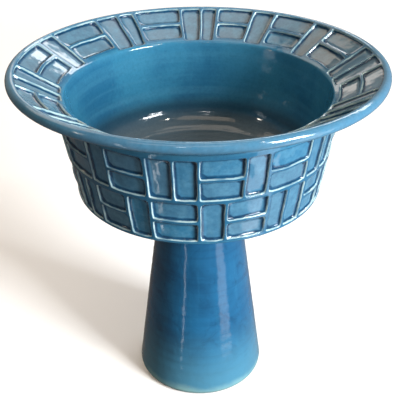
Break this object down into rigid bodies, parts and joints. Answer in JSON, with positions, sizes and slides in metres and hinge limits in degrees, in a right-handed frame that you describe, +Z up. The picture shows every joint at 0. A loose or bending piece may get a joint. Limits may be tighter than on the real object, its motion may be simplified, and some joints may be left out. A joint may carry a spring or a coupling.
{
  "type": "bird bath",
  "caption": "Glazed stoneware bird bath: a wide bowl with a sloping rim and sunk brick pattern, standing on a hollow conical pedestal.",
  "frame": {"origin": "centre of the resting circle under the foot", "axes": "+Z up along the thrown pots' axis; the front is -Y; +X to the right seen from the front"},
  "size_m": [0.5, 0.5, 0.508],
  "materials": {
    "pedestal_glaze": "gloss",
    "bowl_glaze": "gloss",
    "cushion": "matt"
  },
  "bodies": {
    "pedestal": {"pedestal": "pedestal_glaze"},
    "ring": {"seat_ring": "cushion"},
    "bowl": {"bowl": "bowl_glaze"}
  },
  "joints": [
    {"name": "bowl_turn", "type": "hinge", "parent": "pedestal", "child": "ring", "pos_m": [0, 0, 0.326], "axis": [0, 0, 1], "continuous": true},
    {"name": "bowl_lift", "type": "slide", "parent": "ring", "child": "bowl", "axis": [0, 0, 1], "range_m": [0, 0.06]}
  ]
}
